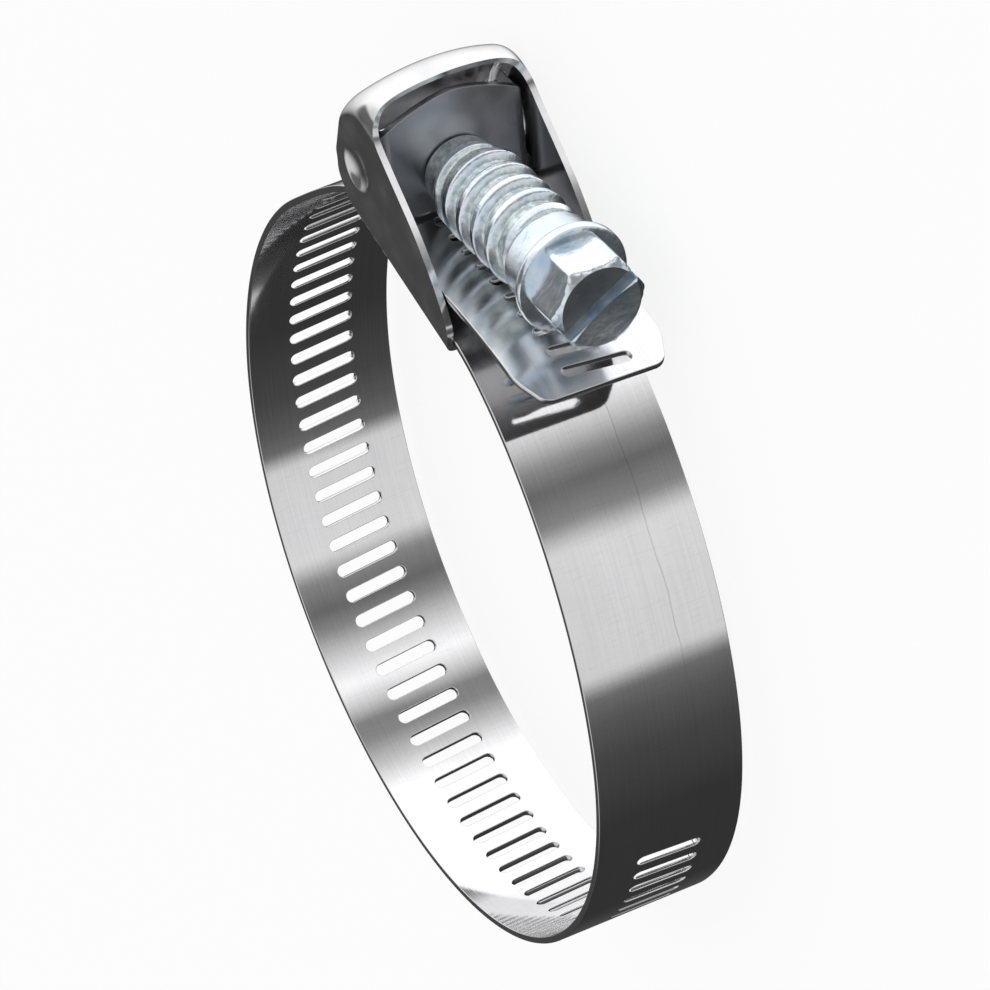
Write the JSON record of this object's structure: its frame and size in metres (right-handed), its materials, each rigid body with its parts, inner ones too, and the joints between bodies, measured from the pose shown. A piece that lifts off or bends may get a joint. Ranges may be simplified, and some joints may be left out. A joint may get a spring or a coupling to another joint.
{
  "type": "hose clamp",
  "caption": "Quick-release worm-drive band clamp: slotted steel band loop, arched housing and a slotted hex-head screw that swings open on pressed pivots.",
  "frame": {"origin": "on the flat underside of the housing, where it sits on the hose or pipe, midway across the band", "axes": "+X outwards from the hose through the housing, +Z along the axis of the loop, the head of the screw towards -Y"},
  "size_m": [0.0879, 0.0666, 0.0156],
  "materials": {
    "band_steel": "bright rolled stainless strip, satin on its outer face",
    "housing_steel": "bright formed stainless sheet",
    "bracket_steel": "dull grey formed sheet with a bright sheared edge",
    "zinc_plate": "bright zinc plate with a slight blue tint"
  },
  "bodies": {
    "clamp": {"band": "band_steel", "housing": "housing_steel"},
    "bracket": {"swivel_bracket": "bracket_steel"},
    "screw": {"worm_screw": "zinc_plate"}
  },
  "joints": [
    {"name": "screw_tilt", "type": "hinge", "parent": "clamp", "child": "bracket", "pos_m": [0.0057, 0.0078, 0], "axis": [0, 0, 1], "range_deg": [0, 20]},
    {"name": "screw_spin", "type": "hinge", "parent": "bracket", "child": "screw", "pos_m": [0.00466, 0.00743, 0], "axis": [0.3371, -0.9415, 0], "continuous": true}
  ]
}
